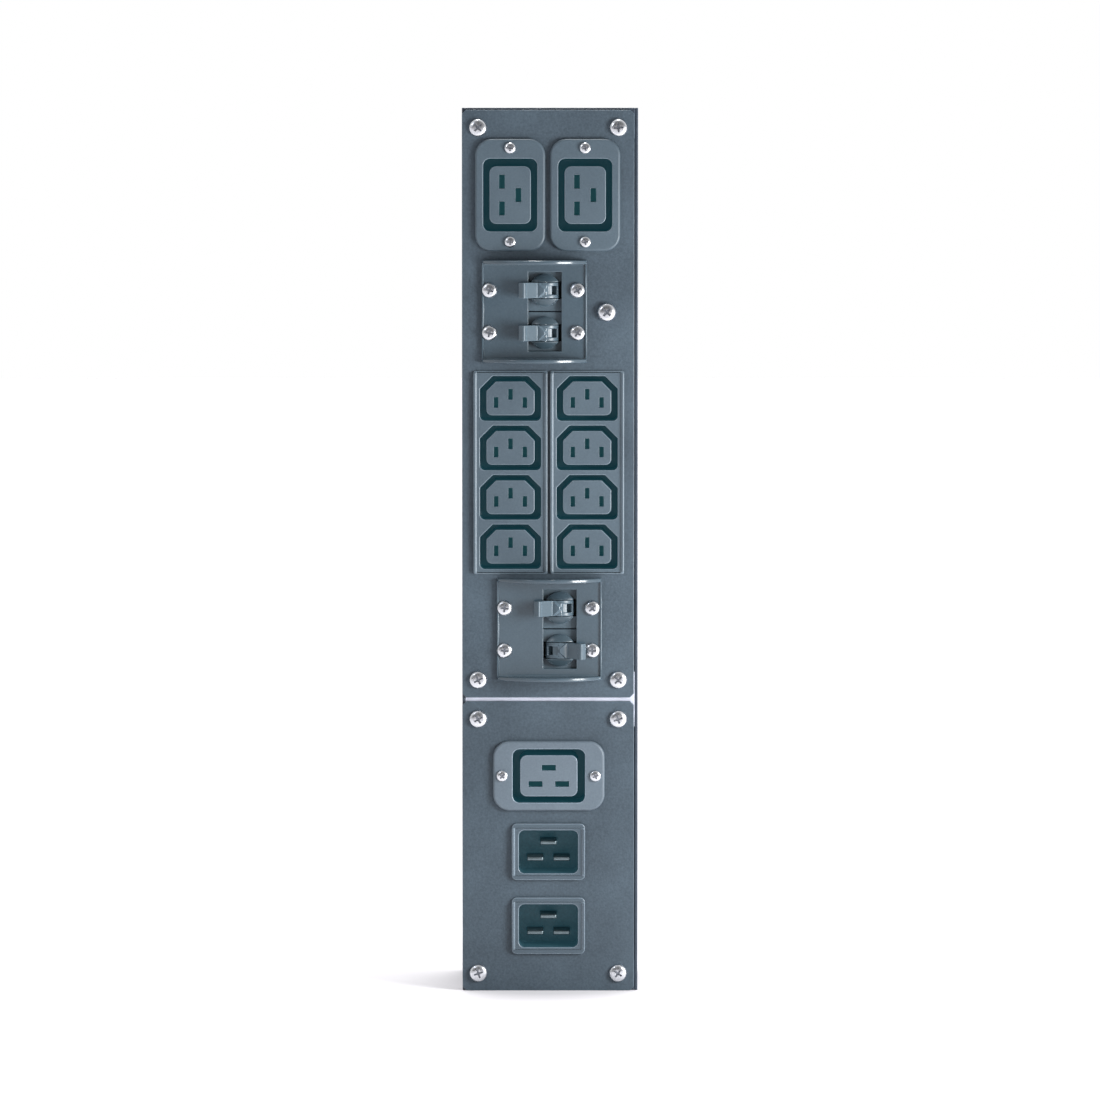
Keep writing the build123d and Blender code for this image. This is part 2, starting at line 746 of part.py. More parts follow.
def upper_panel():
    panel = panel_blank("upper")
    for x in (c19_left_x, c19_right_x):
        panel -= at(x, c19_pair_height) * Rot(0, 90, 0) * c19_cut()
    for x in strip_x:
        panel -= at(x, strip_height) * window(strip_body)
    for handle_x, drop in (upper_breakers, lower_breakers):
        panel -= at(handle_x - handle_offset, chassis_length - drop) * breaker_cut()
    return panel - at(earth_x, earth_height) * rod(earth_shank_r + hole_gap, 0, panel_sheet)


def lower_panel():
    panel = panel_blank("lower") - at(c19_lower_x, c19_lower_height) * c19_cut()
    for height in inlet_heights:
        panel -= at(inlet_x, height) * window(inlet_body())
    return panel


def insulation_sheet():
    reach = half_length - cap_flange - insulation_gap
    half = inner_half - insulation_gap
    return block(-half, half, -sheet - insulation_t, -sheet, -reach, reach)


# ---- Wiring ----
def lead(*points):
    """An insulated lead through points given as x, height and depth."""
    places = [Vector(x, front_y + depth, height - half_length) for x, height, depth in points]
    path = FilletPolyline(*places, radius=wire_bend)
    return sweep(Plane(origin=path @ 0, z_dir=path % 0) * Circle(wire_r), path=path)


def sleeve(upright):
    """Push-on connector over a tab that starts at y = 0; upright when the tab's width is along Z."""
    half_w = tab_width / 2 + sleeve_wall
    half_t = tab_t / 2 + sleeve_wall
    body = block(-half_w, half_w, sleeve_stand_off, sleeve_stand_off + sleeve_length, -half_t, half_t)
    body -= block(-tab_width / 2 - sleeve_slot_gap, tab_width / 2 + sleeve_slot_gap, sleeve_stand_off,
                  tab_length + sleeve_slot_gap, -tab_t / 2 - sleeve_slot_gap, tab_t / 2 + sleeve_slot_gap)
    return Rot(0, 90, 0) * body if upright else body


def connector_places():
    """Every push-on tab that carries a connector: x, height, depth of its root, and which way it lies."""
    places = {}
    for name, x, height in (("upper", inlet_x, inlet_heights[0]), ("lower", inlet_x, inlet_heights[1])):
        for kind, (dx, dz) in zip(("line", "neutral", "earth"), blade_places()):
            places["inlet_" + name, kind] = (x + dx, height + dz, inlet_back_y(), False)
    for kind, (dx, dz) in zip(("line", "neutral", "earth"), blade_places()):
        places["c19_lower", kind] = (c19_lower_x + dx, c19_lower_height + dz, c19_depth, False)
        places["c19_left", kind] = (c19_left_x + dz, c19_pair_height - dx, c19_depth, True)
        places["c19_right", kind] = (c19_right_x + dz, c19_pair_height - dx, c19_depth, True)
    for side, x in zip(("left", "right"), strip_x):
        for kind, (dx, _) in socket_slots().items():
            places["c13_" + side, kind] = (x + dx, strip_height, strip_depth + cover_depth, True)
    for name, x, height in breaker_sites():
        places[name, "load"] = (x + breaker_middle_x() + terminal_half_pitch, height, case_back, True)
        if name in ("breaker_2", "breaker_4"):
            places[name, "line"] = (x + breaker_middle_x() - terminal_half_pitch, height, case_back, True)
    return places


def breaker_sites():
    """Name, handle's x and height of each breaker, from the top down."""
    sites = []
    for handle_x, drop in (upper_breakers, lower_breakers):
        for offset in (breaker_pitch / 2, -breaker_pitch / 2):
            name = "breaker_%d" % (len(sites) + 1)
            sites.append((name, handle_x, chassis_length - drop + offset))
    return sites


def tail(places, key, step=0.0):
    """The point where a lead leaves the back of a connector."""
    x, height, depth, _ = places[key]
    return (x, height + step, depth + sleeve_stand_off + sleeve_length)


def run(places, start, end, lane, way=(), steps=(wire_step, -wire_step)):
    """A lead from one connector to another, back to its lane, along the way, and forward again."""
    a = tail(places, start, steps[0])
    b = tail(places, end, steps[1])
    middle = [(x, height, lane) for x, height in way]
    return lead(a, (a[0], a[1], lane), *middle, (b[0], b[1], lane), b)


def strip_foot():
    """Where leads that come from below turn in to the strips."""
    return strip_height - strip_flange[1] / 2 + strip_foot_gap


def line_wires(p):
    top = strip_height + strip_flange[1] / 2
    feed = tail(p, ("inlet_lower", "line"))
    low = [(-side_lane, feed[1] + side_rise), (-side_lane, top)]
    breaker_4 = p["breaker_4", "load"]
    c19_left = p["c19_left", "neutral"]
    return [
        run(p, ("inlet_upper", "line"), ("c19_lower", "line"), line_lane),
        run(p, ("c19_lower", "line"), ("breaker_4", "line"), line_lane,
            [(p["c19_lower", "line"][0], c19_lower_height + lower_turn)]),
        run(p, ("inlet_lower", "line"), ("breaker_2", "line"), line_lane, low),
        run(p, ("breaker_3", "load"), ("c13_right", "line"), line_lane,
            [(p["breaker_3", "load"][0], strip_height - load_turn)]),
        run(p, ("breaker_4", "load"), ("c13_left", "line"), line_lane,
            [(p["c13_left", "line"][0], breaker_4[1] + load_rise)], (-wire_step, -wire_step)),
        run(p, ("breaker_1", "load"), ("c19_right", "neutral"), line_lane),
        run(p, ("breaker_2", "load"), ("c19_left", "neutral"), line_lane,
            [(c19_left[0], c19_left[1] - outlet_turn)], (-wire_step, -wire_step)),
    ]


def neutral_wires(p):
    c13_left = p["c13_left", "neutral"]
    c13_right = p["c13_right", "neutral"]
    c19_left, c19_right = p["c19_left", "line"], p["c19_right", "line"]
    over = c13_left[1] + strip_bridge
    above = c19_left[1] + outlet_bridge
    feed = p["inlet_lower", "neutral"]
    return [
        run(p, ("inlet_upper", "neutral"), ("c19_lower", "neutral"), neutral_lane),
        run(p, ("c19_lower", "neutral"), ("c13_left", "neutral"), neutral_lane,
            [(p["c19_lower", "neutral"][0], strip_foot()), (c13_left[0], strip_height - strip_turn)]),
        run(p, ("c13_left", "neutral"), ("c13_right", "neutral"), neutral_lane,
            [(c13_left[0], over), (c13_right[0], over)], (wire_step, wire_step)),
        run(p, ("inlet_lower", "neutral"), ("c19_right", "line"), neutral_lane,
            [(side_lane, feed[1] + side_rise), (side_lane, c19_right[1] + side_over)]),
        run(p, ("c19_right", "line"), ("c19_left", "line"), neutral_lane,
            [(c19_right[0], above), (c19_left[0], above)], (wire_step, wire_step)),
    ]


def earth_wires(p):
    stud = earth_lug_depth() + earth_lug_t
    left, right = p["c13_left", "earth"], p["c13_right", "earth"]
    c19_left, c19_right = p["c19_left", "earth"], p["c19_right", "earth"]
    above = c19_left[1] + outlet_bridge

    def to_stud(start, tab, dx, turn):
        a = tail(p, start, wire_step)
        end = (earth_x + dx, earth_height - lug_row)
        middle = [(tab[0], tab[1] + earth_start, earth_lane), (end[0], tab[1] + turn, earth_lane)]
        return lead(a, (a[0], a[1], earth_lane), *middle, (*end, earth_lane), (*end, stud))

    a = tail(p, ("c19_right", "earth"), -wire_step)
    end = (earth_x, earth_height + lug_row)
    return [
        run(p, ("inlet_lower", "earth"), ("inlet_upper", "earth"), earth_lane),
        run(p, ("inlet_upper", "earth"), ("c19_lower", "earth"), earth_lane),
        run(p, ("c19_lower", "earth"), ("c13_left", "earth"), earth_lane,
            [(p["c19_lower", "earth"][0], strip_foot()), (left[0], strip_height - strip_turn)]),
        to_stud(("c13_left", "earth"), left, -lug_half_pitch, earth_turns[0]),
        to_stud(("c13_right", "earth"), right, lug_half_pitch, earth_turns[1]),
        lead(a, (a[0], a[1], earth_lane), (*end, earth_lane), (*end, stud)),
        run(p, ("c19_right", "earth"), ("c19_left", "earth"), earth_lane,
            [(c19_right[0], above), (c19_left[0], above)], (wire_step, wire_step)),
    ]


def earth_lug_depth():
    return panel_sheet + earth_nut_h


def earth_lug():
    """Plate under the earth nut that the earth leads are crimped to."""
    plate = prism(Rectangle(*earth_lug_size), 0, earth_lug_t)
    return plate - rod(earth_shank_r + hole_gap, 0, earth_lug_t)


# ---- Writing the nodes ----
def write_enclosure():
    save("chassis_channel", chassis_channel())
    save("upper_end_cap", cap_body(1))
    save("lower_end_cap", cap_body(-1))
    save("panel_cross_bar", cross_bar())
    save("upper_panel", upper_panel())
    save("lower_panel", lower_panel())
    save("insulation_sheet", insulation_sheet())
    save("chassis_rivets", *chassis_rivets())
    save("ear_press_nuts", *[ear_nut(sign, x, y) for sign in (-1, 1) for x, y in ear_places()])
    length = panel_sheet + sheet + clinch_nut_h + thread_end
    screw = pan_screw(panel_head_d, panel_head_h, panel_shank_r, length)
    nut_front = panel_sheet + sheet
    nut = ring(clinch_nut_r, panel_shank_r + shank_gap, nut_front, nut_front + clinch_nut_h)
    save("panel_screws", *[at(x, z) * screw for x, z in panel_screw_places()])
    save("panel_clinch_nuts", *[at(x, z) * nut for x, z in panel_screw_places()])


def write_outlets():
    sites = [("c19_left", c19_left_x, c19_pair_height, 90), ("c19_right", c19_right_x, c19_pair_height, 90),
             ("c19_lower", c19_lower_x, c19_lower_height, 0)]
    housing = c19_housing()
    contacts = [Pos(x, 0, z) * c19_contact() for x, z in blade_places()]
    length = c19_flange_t + panel_sheet + flange_nut_h + thread_end
    screw = Pos(0, -c19_flange_t, 0) * pan_screw(flange_head_d, flange_head_h, flange_shank_r, length)
    nut = hex_nut(flange_nut_af, flange_nut_h, flange_shank_r + shank_gap, panel_sheet)
    screws, nuts = [], []
    for name, x, height, turn in sites:
        place = at(x, height) * Rot(0, turn, 0)
        save(name + "_housing", place * housing)
        save(name + "_contacts", *[place * contact for contact in contacts])
        for side in (-1, 1):
            hole = place * Pos(side * c19_screw_pitch / 2, 0, 0)
            screws.append(hole * screw)
            nuts.append(hole * nut)
    save("c19_flange_screws", *screws)
    save("c19_flange_nuts", *nuts)


def write_strips():
    housing, cover = strip_housing(), strip_cover()
    for side, x in zip(("left", "right"), strip_x):
        place = at(x, strip_height)
        save("c13_%s_housing" % side, place * housing)
        save("c13_%s_cover" % side, place * cover)
        for kind in ("line", "neutral", "earth"):
            save("c13_%s_%s_bus" % (side, kind), place * strip_bus(kind))


def write_inlets():
    housing, pin = inlet_housing(), inlet_pin_solid()
    for side, height in zip(("upper", "lower"), inlet_heights):
        place = at(inlet_x, height)
        save("inlet_%s_housing" % side, place * housing)
        save("inlet_%s_pins" % side, *[place * Pos(x, 0, z) * pin for x, z in blade_places()])


def write_breakers():
    case, toggle = breaker_case(), lever()
    sites = breaker_sites()
    for name, x, height in sites:
        place = at(x, height)
        tilt = throw if name == "breaker_4" else -throw
        save(name + "_case", place * case)
        save(name + "_lever", place * Pos(0, pivot_depth, 0) * Rot(0, 0, tilt) * toggle)
    places = [at(x, height) for _, x, height in sites]
    save("lever_pivot_pins", *[place * pivot_pin() for place in places])
    save("breaker_coils", *[place * breaker_coil() for place in places])
    save("breaker_contact_arms", *[place * contact_arm() for place in places])
    save("breaker_terminals", *[place * tab for place in places for tab in breaker_tabs()])
    pairs = {"upper": upper_breakers, "lower": lower_breakers}
    screw = Pos(0, -guard_plate, 0) * pan_screw(guard_head_d, guard_head_h, guard_shank_r, guard_screw_length)
    links, screws = [], []
    for name, (handle_x, drop) in pairs.items():
        links.append(at(handle_x, chassis_length - drop) * line_link())
        place = at(handle_x - handle_offset, chassis_length - drop)
        save(name + "_guard", place * guard())
        screws += [place * Pos(x, 0, z) * screw for x, z in guard_screw_places()]
    save("breaker_line_links", *links)
    save("guard_screws", *screws)


def write_earth():
    place = at(earth_x, earth_height)
    head = pan_screw(earth_head_d, earth_head_h, earth_shank_r, earth_length)
    save("earth_screw", place * Pos(0, -earth_washer_t, 0) * head)
    washer_r = earth_head_d / 2 - earth_washer_inset
    save("earth_washer", place * ring(washer_r, earth_shank_r + shank_gap, -earth_washer_t, 0))
    save("earth_nut", place * hex_nut(earth_nut_af, earth_nut_h, earth_shank_r + shank_gap, panel_sheet))
    save("earth_lug", place * Pos(0, earth_lug_depth(), 0) * earth_lug())


def write_wiring():
    places = connector_places()
    sleeves = [at(x, height, depth) * sleeve(upright) for x, height, depth, upright in places.values()]
    save("terminal_sleeves", *sleeves)
    save("line_wires", *line_wires(places))
    save("neutral_wires", *neutral_wires(places))
    save("earth_wires", *earth_wires(places))


os.makedirs("parts", exist_ok=True)
write_enclosure()
write_outlets()
write_strips()
write_inlets()
write_breakers()
write_earth()
write_wiring()
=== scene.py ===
# %% [markdown]
# # A rack power strip
# The real object is a slim sheet steel box that feeds mains power to a rack. Its front carries
# three large outlets, two strips of small ones, two inlets, and four toggle breakers behind guards.
# The engineering model is already there, so this lesson only gives it its looks: broken edges,
# real screws, and a finish for every material. Remodelling the box by hand would be the other way,
# but it would drift from the sizes that everything else depends on.

import json
import math

import bmesh
import bpy
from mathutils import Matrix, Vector

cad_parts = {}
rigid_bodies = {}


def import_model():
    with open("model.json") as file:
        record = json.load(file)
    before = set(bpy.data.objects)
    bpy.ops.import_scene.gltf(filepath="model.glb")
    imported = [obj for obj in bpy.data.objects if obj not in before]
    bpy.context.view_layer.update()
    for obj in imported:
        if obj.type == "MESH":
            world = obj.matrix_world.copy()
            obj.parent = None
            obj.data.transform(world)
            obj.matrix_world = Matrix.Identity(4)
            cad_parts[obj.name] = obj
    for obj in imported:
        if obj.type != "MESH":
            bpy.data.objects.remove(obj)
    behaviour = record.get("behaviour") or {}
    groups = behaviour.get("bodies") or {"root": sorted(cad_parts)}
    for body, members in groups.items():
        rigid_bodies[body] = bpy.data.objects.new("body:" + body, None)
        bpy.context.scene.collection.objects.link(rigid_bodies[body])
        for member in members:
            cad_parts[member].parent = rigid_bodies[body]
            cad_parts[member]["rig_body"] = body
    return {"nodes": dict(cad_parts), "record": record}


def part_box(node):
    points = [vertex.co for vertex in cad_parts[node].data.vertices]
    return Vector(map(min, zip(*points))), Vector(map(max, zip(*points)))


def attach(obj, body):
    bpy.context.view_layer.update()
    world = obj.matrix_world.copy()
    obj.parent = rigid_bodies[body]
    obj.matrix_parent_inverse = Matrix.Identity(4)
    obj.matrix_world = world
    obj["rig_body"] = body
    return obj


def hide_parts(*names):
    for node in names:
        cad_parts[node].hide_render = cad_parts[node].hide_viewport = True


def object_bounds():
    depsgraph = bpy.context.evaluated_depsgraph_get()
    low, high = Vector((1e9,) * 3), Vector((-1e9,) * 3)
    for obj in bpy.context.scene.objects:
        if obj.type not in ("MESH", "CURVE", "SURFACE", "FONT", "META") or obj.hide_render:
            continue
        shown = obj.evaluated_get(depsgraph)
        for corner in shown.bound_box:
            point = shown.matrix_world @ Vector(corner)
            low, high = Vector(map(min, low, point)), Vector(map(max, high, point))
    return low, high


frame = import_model()
cad_low, cad_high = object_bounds()
nodes = frame["nodes"]
body_of = {name: node["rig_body"] for name, node in nodes.items()}
slot_of = {part["node"]: part["material_slot"] for part in frame["record"]["subparts"]}
MM = 0.001

# %% [markdown]
# ## The camera
# A tall flat object is best shown from far away with a long lens, so that its sides stay
# parallel. The camera stands straight in front and a little above the middle. It could be
# levelled and shifted instead, but a small tilt at this distance looks the same and needs
# no shift.

# %% Camera
camera_distance = 3.0
camera_elevation = math.radians(3.5)
camera_lens_mm = 201.0
aim = Vector((0.0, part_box("upper_panel")[0].y, 0.5 * MM))
away = Vector((0.0, -math.cos(camera_elevation), math.sin(camera_elevation)))

camera_data = bpy.data.cameras.new("studio_camera")
camera_data.lens = camera_lens_mm
camera_data.sensor_width = 36.0
camera = bpy.data.objects.new("studio_camera", camera_data)
camera.location = aim + away * camera_distance
camera.rotation_euler = (-away).to_track_quat("-Z", "Y").to_euler()
bpy.context.scene.collection.objects.link(camera)
bpy.context.scene.camera = camera
print("camera at", [round(c, 3) for c in camera.location])

# %% [markdown]
# ## Node helpers
# Shaders and Geometry Nodes are both trees of nodes with sockets. Writing every node by hand takes
# four lines each, so one small function adds a node, sets it and links it. Colours are easiest to
# pick as sRGB hex values, while the renderer counts in linear light, so one function turns one
# into the other.

# %% Helpers for colours and nodes
def linear(hex_colour):
    """An sRGB hex colour as linear red, green, blue and alpha."""
    parts = [int(hex_colour[i:i + 2], 16) / 255 for i in (1, 3, 5)]
    return (*[c / 12.92 if c <= 0.04045 else ((c + 0.055) / 1.055) ** 2.4 for c in parts], 1.0)


def add(tree, kind, inputs=None, **settings):
    """Add one node; each input is a value, a socket to link from, or a list of sockets."""
    node = tree.nodes.new(kind)
    for key, value in settings.items():
        setattr(node, key, value)
    for key, value in (inputs or {}).items():
        sources = value if isinstance(value, list) else [value]
        for source in sources:
            if isinstance(source, bpy.types.NodeSocket):
                tree.links.new(source, node.inputs[key])
            else:
                node.inputs[key].default_value = source
    return node


def per_mm(size_mm):
    """The texture scale that gives features of this size in millimetres."""
    return 1.0 / (size_mm * MM)


print("mid grey is", round(linear("#808080")[0], 3), "in linear light")

# %% [markdown]
# ## The studio
# The box stands on white paper in a white room. A soft sun overhead bleaches the paper, so that
# only a faint shadow is left where the box stands. A close softbox on the right makes that side
# lighter than the left and draws the edges that face it, and a weaker one high on the left opens
# up the shade. One big lamp would be simpler, but it would light every edge the same. The room is
# darker behind the camera: with nothing dark to mirror, polished screws would turn plain white.

# %% Room and floor
scene = bpy.context.scene
scene.view_settings.view_transform = "Standard"     # keeps white paper white
world = bpy.data.worlds.new("white_room")
world.use_nodes = True
room = world.node_tree
front_light = 0.14       # how bright the room is behind the camera, next to white paper
dark_from, dark_to = -0.90, -0.10    # the fade, as how squarely a direction faces the back wall
way = add(room, "ShaderNodeSeparateXYZ", {0: add(room, "ShaderNodeTexCoord").outputs["Generated"]})
fade = add(room, "ShaderNodeMapRange", {"Value": way.outputs["Y"], "From Min": dark_from,
                                        "From Max": dark_to, "To Min": front_light, "To Max": 1.0})
path = add(room, "ShaderNodeLightPath")
seen = add(room, "ShaderNodeMath", {0: fade.outputs["Result"], 1: path.outputs["Is Camera Ray"]},
           operation="MAXIMUM")
room.links.new(seen.outputs[0], room.nodes["Background"].inputs["Strength"])
room.nodes["Background"].inputs["Color"].default_value = linear("#ffffff")
scene.world = world

floor_radius = 9.0
floor_sides = 96
floor_mesh = bpy.data.meshes.new("floor")
floor_shape = bmesh.new()
bmesh.ops.create_circle(floor_shape, cap_ends=True, segments=floor_sides, radius=floor_radius)
bmesh.ops.translate(floor_shape, verts=floor_shape.verts, vec=(0, 0, cad_low.z))
floor_shape.to_mesh(floor_mesh)
floor_shape.free()
floor = bpy.data.objects.new("floor", floor_mesh)
scene.collection.objects.link(floor)

paper = bpy.data.materials.new("matt_paper")
paper.use_nodes = True
shader = paper.node_tree.nodes["Principled BSDF"]
shader.inputs["Base Color"].default_value = linear("#d9d7da")
shader.inputs["Roughness"].default_value = 0.9
floor_mesh.materials.append(paper)
print("floor at", round(cad_low.z, 4))


# %% Lamps
def softbox(name, place, target, size, watts, tint="#ffffff"):
    """A rectangular lamp that looks at a point."""
    lamp = bpy.data.lights.new(name, "AREA")
    lamp.shape = "RECTANGLE"
    lamp.size, lamp.size_y = size
    lamp.energy = watts
    lamp.color = linear(tint)[:3]
    holder = bpy.data.objects.new(name, lamp)
    holder.location = place
    holder.rotation_euler = (Vector(target) - Vector(place)).to_track_quat("-Z", "Y").to_euler()
    scene.collection.objects.link(holder)


softbox("key_softbox", place=(0.44, -0.40, 0.02), target=(0.02, 0, -0.04), size=(0.24, 0.24),
        watts=5.0)
softbox("fill_softbox", place=(-0.46, -0.60, 0.50), target=(0, 0, 0.05), size=(0.12, 0.12),
        watts=0.8, tint="#eef3ff")

sun = bpy.data.lights.new("overhead_sun", "SUN")
sun.energy = 2.35
sun.angle = math.radians(12.0)
sun_holder = bpy.data.objects.new("overhead_sun", sun)
sun_holder.rotation_euler = Vector((0.0, -0.10, -1.0)).to_track_quat("-Z", "Y").to_euler()
scene.collection.objects.link(sun_holder)
print("two softboxes and a sun")


# %% [markdown]
# ## Coated and moulded finishes
# Powder coat is dry paint baked onto steel: its skin has a fine orange peel and its pigment drifts
# slightly. Moulded plastic copies the spark-eroded steel of its mould, which gives it a dull,
# grained skin. Both are a colour that wavers, with a fine relief, so one function makes both.
# An image texture could hold the same, but it would need unwrapping and would blur up close.
# Where an edge is rolled over, coat and plastic are thinner and polished by handling, so each
# finish with edges that show has a lighter, smoother twin for them. Its lighter colour is also a
# painted highlight, the light that a rolled edge catches.

# %% Helper for pigmented skins
drift_mm = 38.0          # how far apart the slow changes of shade lie
all_dark, all_light = 0.7, 1.3       # the sums of drift and grain that give the two shades
dull_spread = 0.06       # how far the grain moves the roughness up and down
coat_roughness = 0.12
plastic_ior = 1.5


def pigmented(name, dark, light, grain_mm, relief_mm, roughness, gloss=0.5, coat=0.0, glow=0.0):
    """A finish of two close shades with a grained skin; glow is a faint light of its own."""
    material = bpy.data.materials.new(name)
    material.use_nodes = True
    tree = material.node_tree
    tree.nodes.clear()
    place = add(tree, "ShaderNodeTexCoord").outputs["Object"]
    drift = add(tree, "ShaderNodeTexNoise", {"Vector": place, "Scale": per_mm(drift_mm),
                                             "Detail": 3.0})
    grain = add(tree, "ShaderNodeTexNoise", {"Vector": place, "Scale": per_mm(grain_mm),
                                             "Detail": 3.0, "Roughness": 0.65})
    both = add(tree, "ShaderNodeMath", {0: drift.outputs["Fac"], 1: grain.outputs["Fac"]},
               operation="ADD")
    share = add(tree, "ShaderNodeMapRange", {"Value": both.outputs[0], "From Min": all_dark,
                                             "From Max": all_light})
    shade = add(tree, "ShaderNodeMix", {0: share.outputs["Result"], 6: linear(dark),
                                        7: linear(light)}, data_type="RGBA")
    dull = add(tree, "ShaderNodeMapRange", {"Value": grain.outputs["Fac"],
                                            "To Min": roughness - dull_spread,
                                            "To Max": roughness + dull_spread})
    bump = add(tree, "ShaderNodeBump", {"Height": grain.outputs["Fac"], "Strength": 1.0,
                                        "Distance": relief_mm * MM})
    skin = add(tree, "ShaderNodeBsdfPrincipled", {
        "Base Color": shade.outputs[2], "Roughness": dull.outputs["Result"], "IOR": plastic_ior,
        "Specular IOR Level": gloss, "Coat Weight": coat, "Coat Roughness": coat_roughness,
        "Emission Color": linear(light), "Emission Strength": glow,
        "Normal": bump.outputs["Normal"]})
    add(tree, "ShaderNodeOutputMaterial", {"Surface": skin.outputs["BSDF"]})
    return material


print("slow drift every", drift_mm, "mm")

# %% Powder coats
# Orange peel is about 0.3 mm across on the real coat. It is drawn at 1.1 mm here, because finer
# grain than that wouldn't show from the camera.
peel_mm = 1.1
slate_coat = pigmented("slate_powder_coat", "#2d3a44", "#41505b", peel_mm, 0.070, 0.50)
# The edge twins are lighter: partly a thinner, polished coat, partly a painted highlight.
slate_edge = pigmented("slate_powder_coat_edge", "#404f5a", "#4e5d68", peel_mm, 0.010, 0.32)
navy_coat = pigmented("navy_powder_coat", "#212b36", "#2e3945", peel_mm, 0.030, 0.42)
navy_edge = pigmented("navy_powder_coat_edge", "#38434f", "#475260", peel_mm, 0.010, 0.30)
print("coats:", slate_coat.name, navy_coat.name)

# %% Moulded plastics
# Glass-filled polyamide for outlets and inlets is dull with a faint grain. The clear-bodied
# polycarbonate of the guards takes a higher polish. Thermoset breaker cases are denser and
# duller, and the toggles are smooth acetal that shines where fingers rub it. The wells get a
# faint glow of their own. It isn't physical: without it they render almost black, so it stands
# in for light that bounces about inside a real well.
mould_grain_mm = 0.9     # spark erosion is nearer 0.1 mm, and is drawn coarser so that it shows
mottle_mm = 1.5          # coarser than the grain, so that the inlet wells look uneven
fibre_mm = 1.8           # the pressed fibres of the board


def moulded(name, dark, light, relief_mm, roughness, **more):
    """A plastic whose skin has the grain of its mould."""
    return pigmented(name, dark, light, mould_grain_mm, relief_mm, roughness, **more)


# Each _edge twin is lighter than its body: partly smoother plastic, partly a painted highlight.
outlet_body = moulded("grained_polyamide", "#3d4b55", "#495862", 0.018, 0.46)
outlet_edge = moulded("grained_polyamide_edge", "#54626c", "#65737d", 0.003, 0.36)
pale_body = moulded("pale_polyamide", "#515d67", "#5e6b75", 0.018, 0.46)
pale_edge = moulded("pale_polyamide_edge", "#6c7a85", "#7e8c98", 0.003, 0.28)
# The well finish is darker and bluer than the body as painted shade, and glows as painted light.
well_shade_and_glow = moulded("outlet_well", "#12303a", "#17404a", 0.010, 0.40, glow=0.50)
inlet_body = moulded("inlet_polyamide", "#3a4852", "#46545e", 0.020, 0.42)
inlet_edge = moulded("inlet_polyamide_edge", "#5d6b76", "#6f7d88", 0.003, 0.26)
# The inlet well finish is darker than the body as painted shade, and glows as painted light.
inlet_shade_and_glow = pigmented("inlet_well", "#0e242b", "#284b56", mottle_mm, 0.080, 0.50, glow=0.50)
guard_body = moulded("polished_polycarbonate", "#384751", "#41505a", 0.002, 0.20, coat=0.4)
guard_edge = moulded("polished_polycarbonate_edge", "#465660", "#52626c", 0.001, 0.30, coat=0.1)
case_body = moulded("breaker_thermoset", "#3f4f59", "#4a5a64", 0.008, 0.42)
case_edge = moulded("breaker_thermoset_edge", "#475761", "#52626c", 0.005, 0.32)
boss_body = moulded("breaker_boss", "#303f48", "#3a4a53", 0.006, 0.30)
toggle_body = moulded("smooth_acetal", "#3e4e58", "#4a5a64", 0.002, 0.34)
toggle_edge = moulded("smooth_acetal_edge", "#50606b", "#5e6e78", 0.001, 0.26)
cover_body = moulded("ribbed_cover_plastic", "#14181c", "#1c2126", 0.020, 0.55)
sleeve_body = moulded("natural_nylon", "#cfc8b6", "#ddd7c8", 0.010, 0.40)
board_body = pigmented("pressed_board", "#8b8470", "#a39b86", fibre_mm, 0.040, 0.75)
print("outlet finishes:", outlet_body.name, pale_body.name, well_shade_and_glow.name)

# %% Vinyl insulation
# Extruded wire covering is soft and slightly waxy, one clear colour for each duty.
line_vinyl = moulded("brown_vinyl", "#5b3422", "#6b402c", 0.004, 0.38)
neutral_vinyl = moulded("blue_vinyl", "#2456a4", "#2f66b6", 0.004, 0.38)
earth_vinyl = moulded("green_vinyl", "#3e8a2c", "#55a53a", 0.004, 0.38)
print("vinyl:", line_vinyl.name, neutral_vinyl.name, earth_vinyl.name)


# %% [markdown]
# ## Plated and bare metals
# A metal has no colour under its surface: what the eye sees is the room, tinted. Nickel plate on
# the screws is bright and nearly grey, clear zinc plate is bluer with a cloudy crystal pattern,
# and copper has its own tint. The brass inside the slots is kept dull and close in colour to the
# wells, as painted shade, with a faint painted glow as they have: clean brass would shine out of
# the slots as bright spots.
# What tells metals apart is how sharp the reflection is, so a slow cloud of noise changes the
# roughness, and a stretched one draws the marks of the tool. A single roughness for each would be
# quicker, but plate would then look like paint. The recess of a screw has a darker finish of its
# own, painted shade, because such a small cross would wash out in the light of the lamp.

# %% Metals
mark_mm = 0.7            # how far apart the tool's marks lie
mark_stretch = 0.15      # below 1 draws the marks out along the box
cloud_low, cloud_high = 0.3, 0.7     # the noise that gives the least and the most roughness


